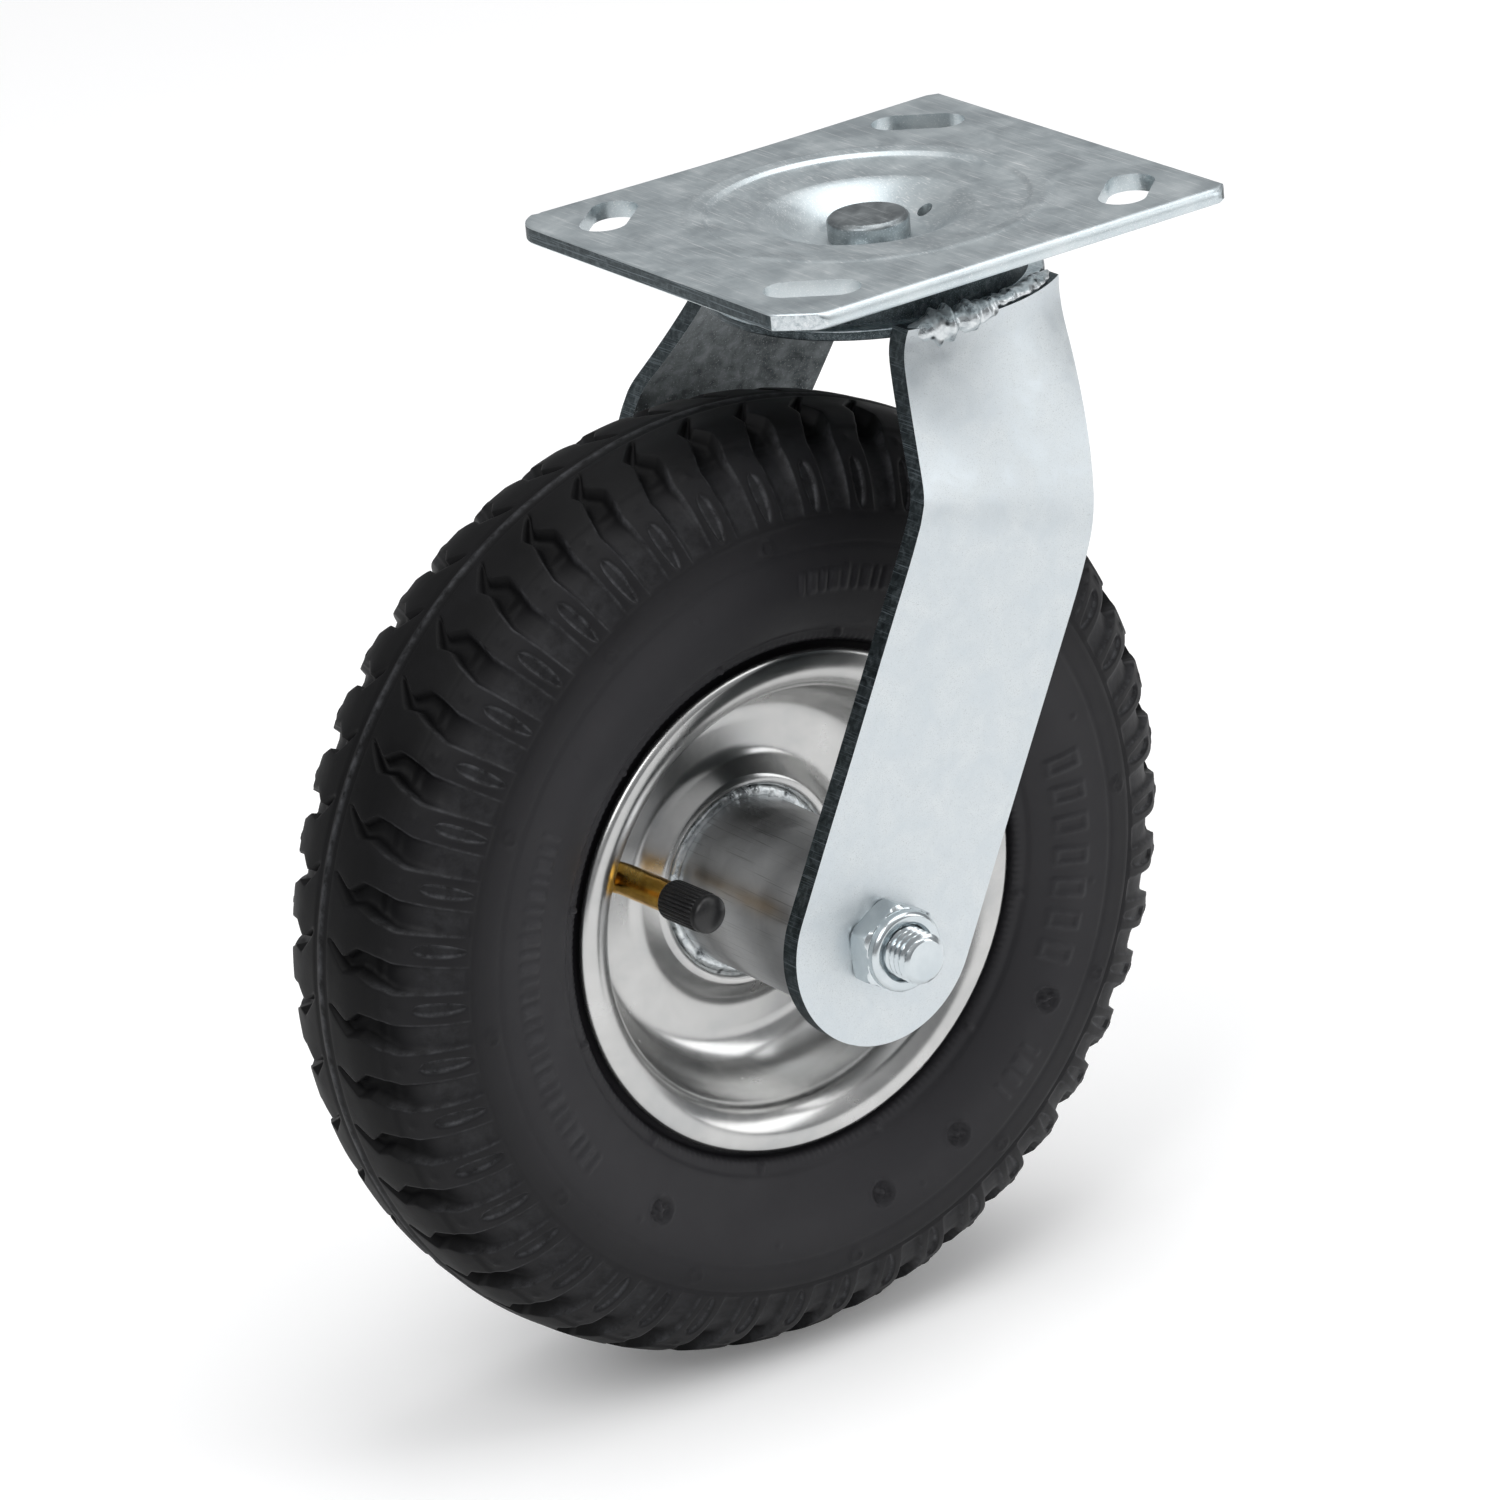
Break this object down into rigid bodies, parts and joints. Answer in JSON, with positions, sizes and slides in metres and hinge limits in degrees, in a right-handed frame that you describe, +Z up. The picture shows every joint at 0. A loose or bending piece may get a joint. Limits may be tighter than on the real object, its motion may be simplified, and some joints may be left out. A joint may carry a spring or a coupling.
{
  "type": "gate wheel",
  "caption": "Swivel plate castor with an air-filled tyre on a ball-bearing hub; carries the swinging end of a heavy gate.",
  "frame": {"origin": "centre of the mounting plate top face, on the swivel axis", "axes": "+Z up along the swivel axis, +X along the long side of the plate, wheel trailing to -X, axle along Y with its nut at -Y"},
  "size_m": [0.2271, 0.1425, 0.261],
  "materials": {
    "zinc_plate": "bright zinc plate over pressed steel",
    "rivet_steel": "plain steel, flat-peened",
    "race_steel": "hardened steel",
    "weld_metal": "zinc plated weld bead",
    "rim_steel": "polished and plated pressed steel",
    "bolt_zinc": "bright zinc plate",
    "ball_steel": "polished bearing steel",
    "tyre_rubber": "moulded black rubber",
    "tube_rubber": "butyl rubber",
    "brass": "plain brass",
    "cap_plastic": "moulded black plastic"
  },
  "bodies": {
    "plate": {"top_plate": "zinc_plate", "kingpin": "rivet_steel", "lower_race": "race_steel"},
    "fork": {"fork_crown": "zinc_plate", "fork_leg_far": "zinc_plate", "fork_leg_near": "zinc_plate", "weld_far": "weld_metal", "weld_near": "weld_metal", "axle_bolt": "bolt_zinc", "axle_nut": "bolt_zinc", "axle_washer": "bolt_zinc", "axle_sleeve": "race_steel", "inner_spacer": "race_steel", "outer_spacer_far": "bolt_zinc", "outer_spacer_near": "bolt_zinc", "bearing_inner_far": "race_steel", "bearing_inner_near": "race_steel"},
    "wheel": {"hub_tube": "rim_steel", "hub_weld_far": "weld_metal", "hub_weld_near": "weld_metal", "rim_far": "rim_steel", "rim_near": "rim_steel", "tyre": "tyre_rubber", "inner_tube": "tube_rubber", "valve_base": "tube_rubber", "valve_stem": "brass", "valve_core": "brass", "valve_cap": "cap_plastic", "bearing_outer_far": "race_steel", "bearing_outer_near": "race_steel", "bearing_shields_far": "race_steel", "bearing_shields_near": "race_steel"},
    "upper_ring": {"upper_balls": "ball_steel", "upper_cage": "race_steel"},
    "lower_ring": {"lower_balls": "ball_steel", "lower_cage": "race_steel"},
    "far_ring": {"bearing_balls_far": "ball_steel", "bearing_cage_far": "race_steel"},
    "near_ring": {"bearing_balls_near": "ball_steel", "bearing_cage_near": "race_steel"},
    "core_pin": {"valve_pin": "brass"}
  },
  "joints": [
    {"name": "swivel", "type": "hinge", "parent": "plate", "child": "fork", "pos_m": [0, 0, 0], "axis": [0, 0, 1], "continuous": true},
    {"name": "upper_orbit", "type": "hinge", "parent": "plate", "child": "upper_ring", "pos_m": [0, 0, 0], "axis": [0, 0, 1], "continuous": true},
    {"name": "lower_orbit", "type": "hinge", "parent": "plate", "child": "lower_ring", "pos_m": [0, 0, 0], "axis": [0, 0, 1], "continuous": true},
    {"name": "wheel_spin", "type": "hinge", "parent": "fork", "child": "wheel", "pos_m": [-0.0535, 0, -0.1482], "axis": [0, 1, 0], "continuous": true},
    {"name": "far_orbit", "type": "hinge", "parent": "fork", "child": "far_ring", "pos_m": [-0.0535, 0, -0.1482], "axis": [0, 1, 0], "continuous": true},
    {"name": "near_orbit", "type": "hinge", "parent": "fork", "child": "near_ring", "pos_m": [-0.0535, 0, -0.1482], "axis": [0, 1, 0], "continuous": true},
    {"name": "valve_press", "type": "slide", "parent": "wheel", "child": "core_pin", "axis": [-0.0914, 0.9952, 0.0342], "range_m": [0, 0.0012], "stiffness_N_per_m": 400}
  ],
  "couplings": [
    {"joint": "upper_orbit", "follows": "swivel", "ratio": 0.5},
    {"joint": "lower_orbit", "follows": "swivel", "ratio": 0.5},
    {"joint": "far_orbit", "follows": "wheel_spin", "ratio": 0.619},
    {"joint": "near_orbit", "follows": "wheel_spin", "ratio": 0.619}
  ]
}
